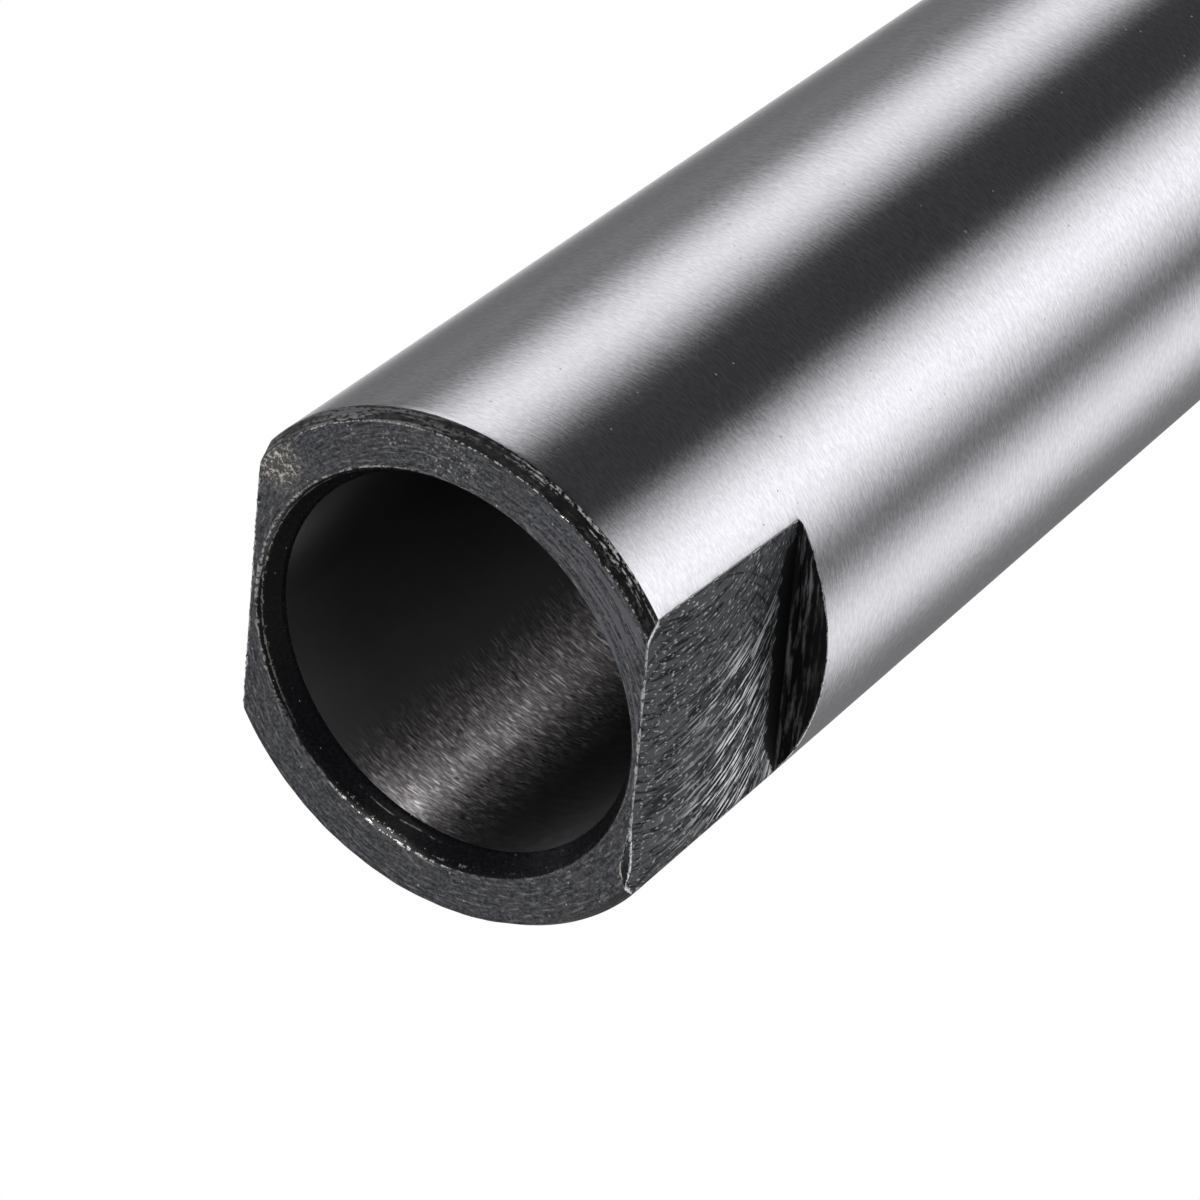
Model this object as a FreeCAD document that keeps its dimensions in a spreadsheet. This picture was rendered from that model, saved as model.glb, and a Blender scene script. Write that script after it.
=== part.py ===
"""Reducing sleeve between two tapers, turned, milled and ground from one steel bar.

A tool with a number 3 tapered shank goes into the socket, and the sleeve's own number 4
shank goes into the spindle. The origin is the centre of the socket's end face. The axis
is Z and the tang points up, so the sleeve stands on its socket end.
"""
import FreeCAD, Part
import os
import Sketcher

# One row for each driving dimension: name, size in mm or degrees, what it is.
SIZES = (
    ("overall_length", 140.0, "socket face to tang end"),
    ("shank_gauge_diameter", 31.267, "outer taper, where it is gauged"),
    ("shank_gauge_height", 22.5, "socket face to the outer gauge plane"),
    ("shank_taper_ratio", 19.254, "length over which the outer diameter drops by one"),
    ("rim_chamfer_height", 0.9, "chamfer round the socket face, along the axis"),
    ("rim_chamfer_angle", 30.0, "that chamfer, from the axis"),
    ("gauge_step", 3.721, "socket's gauge circle, 23.825 across, inside the shank's"),
    ("socket_taper_ratio", 19.922, "length over which the inner diameter drops by one"),
    ("socket_taper_length", 72.2, "socket face to the end of the ground taper"),
    ("mouth_step", 0.94, "how far the mouth stands outside the inner gauge circle"),
    ("mouth_break", 0.2, "broken edge of the mouth"),
    ("countersink_angle", 60.0, "lead-in cone behind it, full angle"),
    ("relief_length", 11.8, "drilled bore from the taper's end to its own full-width end"),
    ("drill_point_angle", 118.0, "cone that a drill leaves, full angle"),
    ("slot_width", 8.3, "drift slot, across"),
    ("slot_length", 27.0, "drift slot, round end to round end"),
    ("slot_overlap", 6.0, "how far the slot reaches back over the bore"),
    ("slot_edge_chamfer", 0.4, "broken edge of the slot on the ground taper"),
    ("spanner_width", 26.4, "across the two spanner flats"),
    ("spanner_length", 15.0, "socket face to the flats' shoulder"),
    ("spanner_foot_radius", 0.3, "rounding where a flat meets its shoulder"),
    ("tang_turned_length", 21.0, "tang end to the taper's end chamfer"),
    ("tang_step", 0.88, "how far the turned tang lies below the taper there"),
    ("tang_chamfer_angle", 45.0, "chamfer from the taper down to the tang, from the axis"),
    ("tang_thickness", 11.9, "across the tang's two flats"),
    ("tang_flat_length", 16.0, "tang end to the start of the run-out"),
    ("tang_runout_radius", 8.0, "side cutter's radius at the end of the flats"),
    ("tang_corner_radius", 2.5, "rounding of the tang's end"),
    ("centre_diameter", 5.3, "centre hole in the tang's end, widest"),
    ("centre_angle", 60.0, "centre hole's cone, full angle"),
    ("centre_pilot_diameter", 2.5, "small drilled hole in it"),
    ("centre_pilot_depth", 5.0, "tang end to the pilot's full-width end"),
)

doc = FreeCAD.newDocument("taper_sleeve")

sheet = doc.addObject("Spreadsheet::Sheet", "Sizes")
for row, (alias, value, meaning) in enumerate(SIZES, start=1):
    sheet.set(f"A{row}", alias)
    sheet.set(f"B{row}", str(value))
    sheet.setAlias(f"B{row}", alias)
    sheet.set(f"C{row}", meaning)
doc.recompute()

body = doc.addObject("PartDesign::Body", "sleeve")
body.Label = "sleeve"
doc.recompute()

# The sketch's own origin point with its horizontal axis, and its vertical axis, which
# lies on the sleeve's axis. Then the points of a line or an arc.
ORIGIN, AXIS = range(-1, -3, -1)
START, END, CENTRE = range(1, 4)

SOCKET_RADIUS = "(Sizes.shank_gauge_diameter / 2 - Sizes.gauge_step)"
SOCKET_DEPTH = "(Sizes.socket_taper_length + Sizes.relief_length)"
SLOT_START = f"({SOCKET_DEPTH} - Sizes.slot_overlap)"


def origin_plane(role):
    """The body's own plane with that role."""
    for feature in body.Origin.OriginFeatures:
        if feature.Role == role:
            return feature
    raise RuntimeError(f"no plane {role}")


def new_sketch(name, role):
    """An empty sketch on one of the body's own planes."""
    sketch = body.newObject("Sketcher::SketchObject", name)
    sketch.AttachmentSupport = [(origin_plane(role), "")]
    sketch.MapMode = "FlatFace"
    return sketch


def outline(sketch, corners):
    """A closed outline of straight lines, drawn roughly. The sizes come as constraints."""
    ends = corners[1:] + corners[:1]
    lines = []
    for (x0, y0), (x1, y1) in zip(corners, ends):
        start = FreeCAD.Vector(x0, y0, 0)
        end = FreeCAD.Vector(x1, y1, 0)
        lines.append(sketch.addGeometry(Part.LineSegment(start, end)))
    for here, after in zip(lines, lines[1:] + lines[:1]):
        sketch.addConstraint(Sketcher.Constraint("Coincident", here, END, after, START))
    return lines


def lay(sketch, kind, *lines):
    """Lines laid Horizontal or Vertical."""
    for line in lines:
        sketch.addConstraint(Sketcher.Constraint(kind, line))


def size(sketch, name, expression, kind, *place):
    """A named dimension in the sketch, bound to the sheet."""
    value = sketch.evalExpression(expression)
    index = sketch.addConstraint(Sketcher.Constraint(kind, *place, value))
    sketch.renameConstraint(index, name)
    sketch.setExpression(f"Constraints.{name}", expression)


def gauge_point(sketch, taper, radius, height):
    """A point where the taper is gauged. The taper's line runs through it."""
    point = sketch.addGeometry(Part.Point(FreeCAD.Vector(10, 10, 0)), True)
    size(sketch, "gauge_radius", radius, "DistanceX", ORIGIN, START, point, START)
    if height:
        size(sketch, "gauge_height", height, "DistanceY", ORIGIN, START, point, START)
    else:
        sketch.addConstraint(Sketcher.Constraint("PointOnObject", point, START, ORIGIN))
    sketch.addConstraint(Sketcher.Constraint("PointOnObject", point, START, taper))


def turn(kind, name, sketch):
    """The sketch turned once round the sleeve's axis."""
    feature = body.newObject(kind, name)
    feature.Profile = sketch
    feature.ReferenceAxis = (sketch, ["V_Axis"])
    feature.Angle = 360.0
    sketch.Visibility = False
    doc.recompute()
    return feature


def mill_through(name, sketch):
    """The sketch cut right through the sleeve, to both sides of its plane."""
    feature = body.newObject("PartDesign::Pocket", name)
    feature.Profile = sketch
    feature.Type = "ThroughAll"
    feature.SideType = "Symmetric"
    sketch.Visibility = False
    doc.recompute()
    return feature


def mirror(name, feature, role):
    """The same cut on the opposite side."""
    mirrored = body.newObject("PartDesign::Mirrored", name)
    mirrored.Originals = [feature]
    mirrored.MirrorPlane = (origin_plane(role), [""])
    body.Tip = mirrored
    doc.recompute()
    return mirrored


def turn_shank():
    """The outside: end face, rim chamfer, ground taper, and the tang's turned stub."""
    sketch = new_sketch("shank_profile", "XZ_Plane")
    corners = [(0, 0), (15, 0), (16, 1), (13, 118), (12, 119), (12, 140), (0, 140)]
    face, rim, taper, shoulder, stub, end, axis = outline(sketch, corners)
    sketch.addConstraint(Sketcher.Constraint("Coincident", face, START, ORIGIN, START))
    lay(sketch, "Horizontal", face, end)
    lay(sketch, "Vertical", stub, axis)
    size(sketch, "length", "Sizes.overall_length", "DistanceY", axis, END, axis, START)
    size(sketch, "rim_height", "Sizes.rim_chamfer_height", "DistanceY", rim, START, rim, END)
    size(sketch, "rim_angle", "90 deg - Sizes.rim_chamfer_angle * 1 deg", "Angle", rim)
    taper_angle = "90 deg + atan(1 / (2 * Sizes.shank_taper_ratio))"
    size(sketch, "taper_angle", taper_angle, "Angle", taper)
    gauge_point(sketch, taper, "Sizes.shank_gauge_diameter / 2", "Sizes.shank_gauge_height")
    chamfer_angle = "90 deg + Sizes.tang_chamfer_angle * 1 deg"
    size(sketch, "chamfer_angle", chamfer_angle, "Angle", shoulder)
    size(sketch, "stub_length", "Sizes.tang_turned_length", "DistanceY", stub, START, stub, END)
    over_stub = sketch.addGeometry(Part.Point(FreeCAD.Vector(13, 119, 0)), True)
    sketch.addConstraint(Sketcher.Constraint("PointOnObject", over_stub, START, taper))
    sketch.addConstraint(Sketcher.Constraint("Horizontal", stub, START, over_stub, START))
    size(sketch, "stub_step", "Sizes.tang_step", "DistanceX", stub, START, over_stub, START)
    return turn("PartDesign::Revolution", "shank", sketch)


def round_tang_end(shank):
    """The rounded edge that leads the tang into the spindle's slot."""
    top = shank.Shape.BoundBox.ZMax
    flat = 1e-6
    rims = [number for number, edge in enumerate(shank.Shape.Edges, start=1)
            if top - edge.BoundBox.ZMin < flat]
    fillet = body.newObject("PartDesign::Fillet", "tang_corner")
    fillet.Base = (shank, [f"Edge{number}" for number in rims])
    fillet.setExpression("Radius", "Sizes.tang_corner_radius")
    doc.recompute()
    return fillet


def mill_tang():
    """The tang's two flats, with the hollow that the side cutter leaves at their end."""
    sketch = new_sketch("tang_profile", "YZ_Plane")
    corners = [(6, 148), (6, 124), (14, 116), (25, 116), (25, 148)]
    points = [FreeCAD.Vector(x, y, 0) for x, y in corners]
    flat = sketch.addGeometry(Part.LineSegment(points[0], points[1]))
    hollow = Part.Circle(FreeCAD.Vector(14, 124, 0), FreeCAD.Vector(0, 0, 1), 8)
    runout = sketch.addGeometry(Part.ArcOfCircle(hollow, 3.1416, 4.7124))
    floor = sketch.addGeometry(Part.LineSegment(points[2], points[3]))
    outside = sketch.addGeometry(Part.LineSegment(points[3], points[4]))
    above = sketch.addGeometry(Part.LineSegment(points[4], points[0]))
    sketch.addConstraint(Sketcher.Constraint("Tangent", flat, END, runout, START))
    sketch.addConstraint(Sketcher.Constraint("Tangent", runout, END, floor, START))
    sketch.addConstraint(Sketcher.Constraint("Coincident", floor, END, outside, START))
    sketch.addConstraint(Sketcher.Constraint("Coincident", outside, END, above, START))
    sketch.addConstraint(Sketcher.Constraint("Coincident", above, END, flat, START))
    lay(sketch, "Vertical", flat, outside)
    lay(sketch, "Horizontal", floor, above)
    size(sketch, "runout", "Sizes.tang_runout_radius", "Radius", runout)
    size(sketch, "half", "Sizes.tang_thickness / 2", "DistanceX", ORIGIN, START, flat, START)
    flat_end = "Sizes.overall_length - Sizes.tang_flat_length"
    size(sketch, "flat_end", flat_end, "DistanceY", ORIGIN, START, flat, END)
    clear = "Sizes.tang_runout_radius"
    size(sketch, "above_end", f"Sizes.overall_length + {clear}",
         "DistanceY", ORIGIN, START, flat, START)
    size(sketch, "past_side", f"Sizes.shank_gauge_diameter / 2 + {clear}",
         "DistanceX", ORIGIN, START, outside, START)
    one_side = mill_through("tang_flat", sketch)
    return mirror("tang_flats", one_side, "XZ_Plane")


def bore_socket():
    """The socket: broken edge, lead-in cone, ground taper, drilled bore and its point."""
    sketch = new_sketch("socket_profile", "XZ_Plane")
    corners = [(0, 0), (12.9, 0), (12.7, 0.2), (11.9, 1.6), (10, 72), (10, 84), (0, 90)]
    face, edge, lead, taper, relief, point, axis = outline(sketch, corners)
    sketch.addConstraint(Sketcher.Constraint("Coincident", face, START, ORIGIN, START))
    lay(sketch, "Horizontal", face)
    lay(sketch, "Vertical", relief, axis)
    size(sketch, "mouth_radius", f"{SOCKET_RADIUS} + Sizes.mouth_step",
         "DistanceX", face, START, face, END)
    size(sketch, "edge_depth", "Sizes.mouth_break", "DistanceY", edge, START, edge, END)
    size(sketch, "edge_width", "Sizes.mouth_break", "DistanceX", edge, END, edge, START)
    size(sketch, "lead_angle", "90 deg + Sizes.countersink_angle * 0.5 deg", "Angle", lead)
    taper_angle = "90 deg + atan(1 / (2 * Sizes.socket_taper_ratio))"
    size(sketch, "taper_angle", taper_angle, "Angle", taper)
    gauge_point(sketch, taper, SOCKET_RADIUS, None)
    size(sketch, "taper_end", "Sizes.socket_taper_length",
         "DistanceY", ORIGIN, START, taper, END)
    size(sketch, "depth", SOCKET_DEPTH, "DistanceY", ORIGIN, START, relief, END)
    size(sketch, "point_angle", "90 deg + Sizes.drill_point_angle * 0.5 deg", "Angle", point)
    return turn("PartDesign::Groove", "socket", sketch)


def mill_drift_slot():
    """The round-ended slot for the tool's tang and for the drift that drives it out."""
    sketch = new_sketch("slot_profile", "YZ_Plane")
    across = FreeCAD.Vector(0, 0, 1)
    low_circle = Part.Circle(FreeCAD.Vector(0, 82, 0), across, 4)
    high_circle = Part.Circle(FreeCAD.Vector(0, 101, 0), across, 4)
    low = sketch.addGeometry(Part.ArcOfCircle(low_circle, 3.1416, 6.2832))
    high = sketch.addGeometry(Part.ArcOfCircle(high_circle, 0, 3.1416))
    right = sketch.addGeometry(
        Part.LineSegment(FreeCAD.Vector(4, 82, 0), FreeCAD.Vector(4, 101, 0)))
    left = sketch.addGeometry(
        Part.LineSegment(FreeCAD.Vector(-4, 101, 0), FreeCAD.Vector(-4, 82, 0)))
    sketch.addConstraint(Sketcher.Constraint("Tangent", low, END, right, START))
    sketch.addConstraint(Sketcher.Constraint("Tangent", right, END, high, START))
    sketch.addConstraint(Sketcher.Constraint("Tangent", high, END, left, START))
    sketch.addConstraint(Sketcher.Constraint("Tangent", left, END, low, START))
    sketch.addConstraint(Sketcher.Constraint("PointOnObject", low, CENTRE, AXIS))
    sketch.addConstraint(Sketcher.Constraint("PointOnObject", high, CENTRE, AXIS))
    lay(sketch, "Vertical", right)
    size(sketch, "end_radius", "Sizes.slot_width / 2", "Radius", low)
    size(sketch, "low_centre", f"{SLOT_START} + Sizes.slot_width / 2",
         "DistanceY", ORIGIN, START, low, CENTRE)
    size(sketch, "high_centre", f"{SLOT_START} + Sizes.slot_length - Sizes.slot_width / 2",
         "DistanceY", ORIGIN, START, high, CENTRE)
    return mill_through("drift_slot", sketch)


def break_slot_edges(slotted, shank):
    """The slot's outer edges, broken by hand so that they don't raise the ground taper."""
    tiny = 1e-3
    outside = shank.Shape.Shells[0]
    side = body.evalExpression("Sizes.slot_width / 2") + tiny
    start = body.evalExpression(SLOT_START) - tiny
    end = start + body.evalExpression("Sizes.slot_length") + 2 * tiny
    rims = []
    for number, edge in enumerate(slotted.Shape.Edges, start=1):
        box = edge.BoundBox
        middle = Part.Vertex(edge.valueAt((edge.FirstParameter + edge.LastParameter) / 2))
        in_slot = max(-box.YMin, box.YMax) < side and start < box.ZMin and box.ZMax < end
        if in_slot and middle.distToShape(outside)[0] < tiny:
            rims.append(f"Edge{number}")
    chamfer = body.newObject("PartDesign::Chamfer", "slot_edges")
    chamfer.Base = (slotted, rims)
    chamfer.setExpression("Size", "Sizes.slot_edge_chamfer")
    doc.recompute()
    return chamfer


def mill_spanner_flats():
    """The two spanner flats at the mouth, up to a shoulder with a rounded foot."""
    sketch = new_sketch("spanner_profile", "XZ_Plane")
    corners = [(13.2, -0.3), (31, -0.3), (31, 15), (13.5, 15), (13.2, 14.7)]
    points = [FreeCAD.Vector(x, y, 0) for x, y in corners]
    below = sketch.addGeometry(Part.LineSegment(points[0], points[1]))
    outside = sketch.addGeometry(Part.LineSegment(points[1], points[2]))
    shoulder = sketch.addGeometry(Part.LineSegment(points[2], points[3]))
    corner = Part.Circle(FreeCAD.Vector(13.5, 14.7, 0), FreeCAD.Vector(0, 0, 1), 0.3)
    foot = sketch.addGeometry(Part.ArcOfCircle(corner, 1.5708, 3.1416))
    flat = sketch.addGeometry(Part.LineSegment(points[4], points[0]))
    sketch.addConstraint(Sketcher.Constraint("Coincident", below, END, outside, START))
    sketch.addConstraint(Sketcher.Constraint("Coincident", outside, END, shoulder, START))
    sketch.addConstraint(Sketcher.Constraint("Tangent", shoulder, END, foot, START))
    sketch.addConstraint(Sketcher.Constraint("Tangent", foot, END, flat, START))
    sketch.addConstraint(Sketcher.Constraint("Coincident", flat, END, below, START))
    lay(sketch, "Horizontal", below, shoulder)
    lay(sketch, "Vertical", outside, flat)
    size(sketch, "foot_radius", "Sizes.spanner_foot_radius", "Radius", foot)
    size(sketch, "half", "Sizes.spanner_width / 2", "DistanceX", ORIGIN, START, flat, END)
    size(sketch, "length", "Sizes.spanner_length", "DistanceY", ORIGIN, START, shoulder, START)
    clear = "Sizes.spanner_foot_radius"
    size(sketch, "below_face", clear, "DistanceY", below, START, ORIGIN, START)
    size(sketch, "past_side", f"Sizes.shank_gauge_diameter / 2 + Sizes.spanner_length",
         "DistanceX", ORIGIN, START, outside, START)
    one_side = mill_through("spanner_flat", sketch)
    return mirror("spanner_flats", one_side, "YZ_Plane")


def drill_centre():
    """The centre hole in the tang's end, on which the sleeve was turned and ground."""
    sketch = new_sketch("centre_profile", "XZ_Plane")
    corners = [(0, 140), (0, 134), (1.2, 135), (1.2, 138), (2.6, 140)]
    axis, point, pilot, cone, end = outline(sketch, corners)
    sketch.addConstraint(Sketcher.Constraint("PointOnObject", axis, START, AXIS))
    lay(sketch, "Vertical", axis, pilot)
    lay(sketch, "Horizontal", end)
    size(sketch, "end_height", "Sizes.overall_length", "DistanceY", ORIGIN, START, axis, START)
    size(sketch, "radius", "Sizes.centre_diameter / 2", "DistanceX", axis, START, cone, END)
    size(sketch, "cone_angle", "90 deg - Sizes.centre_angle * 0.5 deg", "Angle", cone)
    size(sketch, "pilot_radius", "Sizes.centre_pilot_diameter / 2",
         "DistanceX", axis, START, pilot, START)
    size(sketch, "pilot_depth", "Sizes.centre_pilot_depth",
         "DistanceY", pilot, START, axis, START)
    size(sketch, "point_angle", "90 deg - Sizes.drill_point_angle * 0.5 deg", "Angle", point)
    return turn("PartDesign::Groove", "centre_hole", sketch)


def check_features():
    """Every object is sound, every sketch is fully sized and every cut takes metal away."""
    for item in doc.Objects:
        if "Invalid" in item.State or "Error" in item.State:
            raise RuntimeError(f"{item.Name} failed: {item.State}")
        if item.TypeId == "Sketcher::SketchObject" and not item.FullyConstrained:
            raise RuntimeError(f"{item.Name} isn't fully sized")
    shapes = [item for item in body.Group if item.isDerivedFrom("PartDesign::Feature")]
    for before, after in zip(shapes, shapes[1:]):
        if not after.Shape.Volume < before.Shape.Volume:
            raise RuntimeError(f"{after.Name} takes nothing away")


def write_part():
    """The finished solid, written under its label."""
    shape = body.Shape
    if shape.isNull() or not shape.isValid() or len(shape.Solids) != 1:
        raise RuntimeError(f"{body.Label} isn't one sound solid")
    os.makedirs("parts", exist_ok=True)
    shape.exportStep(f"parts/{body.Label}.step")
    box = shape.BoundBox
    print(f"{body.Label}: {box.XLength:.3f} x {box.YLength:.3f} x {box.ZLength:.3f} mm, "
          f"{shape.Volume:.1f} mm3, {len(shape.Faces)} faces")


shank = turn_shank()
round_tang_end(shank)
mill_tang()
bore_socket()
slotted = mill_drift_slot()
break_slot_edges(slotted, shank)
mill_spanner_flats()
drill_centre()
doc.recompute()
check_features()
write_part()
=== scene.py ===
"""Looks of the reducing sleeve: ground tapers, turned mouth, milled flats, slot and tang.

The sleeve is one mesh, drawn as rings of points round its axis from the bottom of the
socket, out over the mouth and up the shank, to the centre hole in the tang. Its sizes are
the solid's, in millimetres. Each machined surface has its own procedural material.
"""
import bmesh
import bpy
import math
import numpy as np
from mathutils import Matrix, Vector


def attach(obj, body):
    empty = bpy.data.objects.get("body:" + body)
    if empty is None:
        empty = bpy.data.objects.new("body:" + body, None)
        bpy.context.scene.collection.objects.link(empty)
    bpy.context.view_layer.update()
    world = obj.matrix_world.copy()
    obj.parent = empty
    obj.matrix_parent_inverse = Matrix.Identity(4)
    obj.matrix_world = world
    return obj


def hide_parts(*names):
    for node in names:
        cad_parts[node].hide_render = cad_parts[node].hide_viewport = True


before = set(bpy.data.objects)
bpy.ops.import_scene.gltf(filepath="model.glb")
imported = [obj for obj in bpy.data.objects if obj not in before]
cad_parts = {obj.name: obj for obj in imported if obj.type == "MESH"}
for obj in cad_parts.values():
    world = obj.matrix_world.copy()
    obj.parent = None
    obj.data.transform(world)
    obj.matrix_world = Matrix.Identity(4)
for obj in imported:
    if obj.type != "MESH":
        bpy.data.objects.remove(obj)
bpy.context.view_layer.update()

MM = 0.001
TAU = 2 * math.pi

# The least sine or cosine to divide by, and how close two points are that become one.
TINY = 1e-3
SAME_POINT = 0.0005

# The turned outside.
LENGTH = 140.0
FACE_RADIUS = 16.218
SHANK_SLOPE = 1 / (2 * 19.254)
RIM_HEIGHT = 0.9
RIM_ANGLE = math.radians(30)
STUB_START = LENGTH - 21.0
STUB_STEP = 0.88
STUB_RADIUS = FACE_RADIUS - STUB_START * SHANK_SLOPE - STUB_STEP
STUB_CORNER = 2.5

# The socket.
MOUTH_RADIUS = 12.8525
MOUTH_BREAK = 0.2
LEAD_SLOPE = math.tan(math.radians(30))
SOCKET_RADIUS = 11.9125
SOCKET_SLOPE = 1 / (2 * 19.922)
SOCKET_TAPER_END = 72.2
RELIEF_END = 84.0
DRILL_SLOPE = math.tan(math.radians(59))

# The milled cuts.
SPANNER_HALF = 13.2
SPANNER_LENGTH = 15.0
SPANNER_FOOT = 0.3
TANG_HALF = 5.95
TANG_FLAT_START = 124.0
TANG_RUNOUT = 8.0
TANG_CUT_START = TANG_FLAT_START - TANG_RUNOUT
SLOT_HALF = 4.15
SLOT_START = 78.0
SLOT_END = 105.0
SLOT_CHAMFER = 0.4
CUTTER_REACH = FACE_RADIUS + 2.0

# The centre hole.
CENTRE_RADIUS = 2.65
CENTRE_SLOPE = math.tan(math.radians(30))
PILOT_RADIUS = 1.25
PILOT_DEPTH = 5.0

# Edges as a file, a stone or the cutter leaves them.
SPANNER_EDGE = 0.1
TANG_EDGE = 0.35
RUNOUT_EDGE = 0.002
RIM_EDGE = 0.06
FINE_EDGE = 0.04
TOP_EDGE = 0.12

# A bevel filed on the lower end of the +X flat's end edge: where it starts, is widest and
# stops, along Y, and its width.
BEVEL_START = 4.0
BEVEL_FULL = 7.2
BEVEL_STOP = 8.7
BEVEL_WIDTH = 0.36

# Knocks in the rim: azimuth in degrees and depth, and how many degrees wide they are.
KNOCKS = ((309, 0.22), (296, 0.1))
KNOCK_WIDTH = 1.4

# How unevenly the rim is turned, in short waves and in long ones.
RIM_RIPPLE = 0.016
RIM_SWAY = 0.02

# The lip that the mill pushed up along the flats' end edges.
LIP_HEIGHT = 0.16
LIP_REACH = 0.03
LIP_RIPPLE = 0.05

# How deep the mill chattered, and how far from a flat's middle that starts and is full.
CHATTER = 0.018
CHATTER_START = 6.0
CHATTER_FULL = 9.0

# Columns round a quarter: along the spanner flat, over its edge, along the round side.
FLAT_COLUMNS = 42
EDGE_COLUMNS = 8
ROUND_COLUMNS = 58
EDGE_WIDTH = math.radians(0.55)

# Rows: heights up the rim chamfer, and shares of the way out over the end face.
RIM_ROWS = (0.7 * FINE_EDGE, 0.08, 0.14, 0.22, 0.32, 0.42, 0.5, 0.58, 0.68, 0.78, 0.86, 0.9, 0.94)
FACE_ROWS = (0.06, 0.16, 0.3, 0.45, 0.6, 0.75, 0.88, 1.0)

# Angles from +X of the run-out's edge on the shank, at its lowest and at the stub's chamfer,
# and the shank's radius near there.
TANG_CORNER = math.radians(88)
CHAMFER_CORNER = math.radians(41)
RUNOUT_RADIUS = FACE_RADIUS - (STUB_START - 2.0) * SHANK_SLOPE

# The rounded end's last row is this angle short of the flat top.
LAST_TURN = 0.12


def new_object(name, data):
    """An object in the scene, with its mesh, lamp or camera."""
    thing = bpy.data.objects.new(name, data)
    bpy.context.scene.collection.objects.link(thing)
    return thing


def ease(value, low, high):
    """The value's way from low to high, eased, from 0 to 1."""
    share = np.clip((value - low) / (high - low), 0, 1)
    return share * share * (3 - 2 * share)


def spread(start, end, count):
    """Evenly spaced values after start, up to and with end."""
    return [start + (end - start) * step / count for step in range(1, count + 1)]


def soft_min(first, second, width):
    """The smaller of two radii, rounded over where they cross."""
    share = np.clip(0.5 + 0.5 * (second - first) / width, 0, 1)
    return second + (first - second) * share - width * share * (1 - share)


def cone(height):
    """Radius of the ground outer taper."""
    return FACE_RADIUS - height * SHANK_SLOPE


def turned(height):
    """Radius of the outside before any milling: rim chamfer, taper, chamfer, stub."""
    rim = cone(RIM_HEIGHT) - (RIM_HEIGHT - height) * math.tan(RIM_ANGLE)
    shank = soft_min(cone(height), rim, RIM_EDGE)
    step = STUB_RADIUS + np.maximum(STUB_START - height, 0)
    shank = soft_min(shank, step, RIM_EDGE)
    into_corner = np.clip(height - LENGTH + STUB_CORNER, 0, STUB_CORNER)
    corner = STUB_CORNER - np.sqrt(STUB_CORNER ** 2 - into_corner ** 2)
    return shank - corner


def spanner_face(height):
    """Distance of the spanner flat from the axis, with its rounded foot."""
    into_foot = np.clip(height - SPANNER_LENGTH + SPANNER_FOOT, 0, SPANNER_FOOT)
    return SPANNER_HALF + SPANNER_FOOT - np.sqrt(SPANNER_FOOT ** 2 - into_foot ** 2)


def tang_face(height):
    """Distance of the tang's flat from the axis, with the cutter's hollow below it."""
    below = np.clip(TANG_FLAT_START - height, 0, TANG_RUNOUT)
    return TANG_HALF + TANG_RUNOUT - np.sqrt(TANG_RUNOUT ** 2 - below ** 2)


def flat_corner(height):
    """Angle from +X at which the spanner flat, or past it the tang's cut, ends."""
    if height <= SPANNER_LENGTH:
        return math.acos(spanner_face(height) / turned(height))
    if height >= TANG_CUT_START:
        return math.asin(min(tang_face(height) / turned(height), math.sin(TANG_CORNER)))
    shoulder = math.acos((SPANNER_HALF + SPANNER_FOOT) / turned(SPANNER_LENGTH))
    share = (height - SPANNER_LENGTH) / (TANG_CUT_START - SPANNER_LENGTH)
    return shoulder + (TANG_CORNER - shoulder) * share


def ring_angles(corner):
    """Angles of the columns, close together where a flat ends."""
    quarter = np.concatenate([
        np.linspace(0, corner - EDGE_WIDTH, FLAT_COLUMNS, endpoint=False),
        np.linspace(corner - EDGE_WIDTH, corner + EDGE_WIDTH, EDGE_COLUMNS, endpoint=False),
        np.linspace(corner + EDGE_WIDTH, math.pi / 2, ROUND_COLUMNS, endpoint=False)])
    half = np.concatenate([quarter, [math.pi / 2], (math.pi - quarter[1:])[::-1]])
    return np.concatenate([half, half + math.pi])


def wander(angles, seed, waves, size):
    """A small uneven ripple round the axis that closes on itself."""
    draw = np.random.default_rng(seed)
    total = np.zeros_like(angles)
    for wave in waves:
        share = draw.normal() / math.sqrt(len(waves))
        total += share * np.sin(wave * angles + draw.uniform(0, TAU))
    return size * total


def chatter(angles, height):
    """How much deeper the mill cut here and there along the flats' two sides."""
    quick = 4.9
    slow = 3.1
    delay = np.where(np.sin(angles) > 0, 1.9, 0.0)
    waves = np.sin(quick * height + delay) + np.sin(slow * height + 2 * delay)
    from_middle = abs(SPANNER_HALF * np.tan(angles))
    return CHATTER * (1 + waves / 2) * ease(from_middle, CHATTER_START, CHATTER_FULL)


def outside(angles, height, past_shoulder=False):
    """Radius of the outside at each angle, with the flats milled off."""
    radius = np.full_like(angles, turned(height))
    if not past_shoulder:
        flat = spanner_face(height) - chatter(angles, height)
        radius = soft_min(radius, flat / np.maximum(abs(np.cos(angles)), TINY), SPANNER_EDGE)
    if height > TANG_CUT_START:
        flat = tang_face(height)
        edge = RUNOUT_EDGE + TANG_EDGE * ease(height, STUB_START, STUB_START + 2)
        radius = soft_min(radius, flat / np.maximum(abs(np.sin(angles)), TINY), edge)
    return radius


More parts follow.
